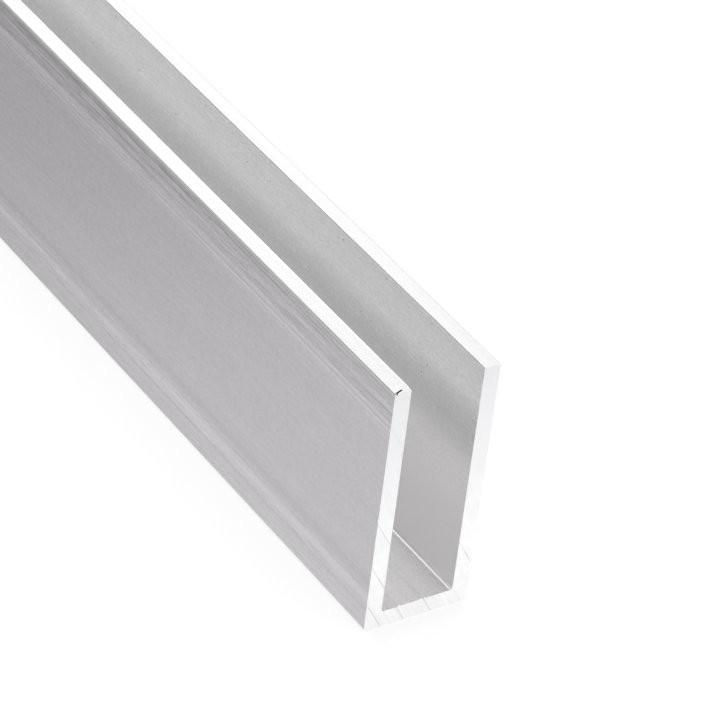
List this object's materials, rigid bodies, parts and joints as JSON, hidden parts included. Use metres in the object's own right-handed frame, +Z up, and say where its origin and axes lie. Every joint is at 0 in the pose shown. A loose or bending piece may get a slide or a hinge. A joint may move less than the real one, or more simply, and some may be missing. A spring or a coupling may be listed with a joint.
{
  "type": "aluminium extrusion profile",
  "caption": "Deep, narrow aluminium U-channel in mill finish, a sawn length of stock standing on its web with the open slot upwards, for edging or holding a panel.",
  "frame": {"origin": "middle of the length and of the width, on the underside of the web", "axes": "+X along the length, +Y across the slot from one leg to the other, +Z up from the web to the leg tips"},
  "size_m": [1, 0.013, 0.031],
  "materials": {
    "mill_finish_aluminium": "mill finish, as extruded, with fine lines along the length and sawn ends"
  },
  "bodies": {
    "root": {"u_channel": "mill_finish_aluminium"}
  },
  "joints": []
}
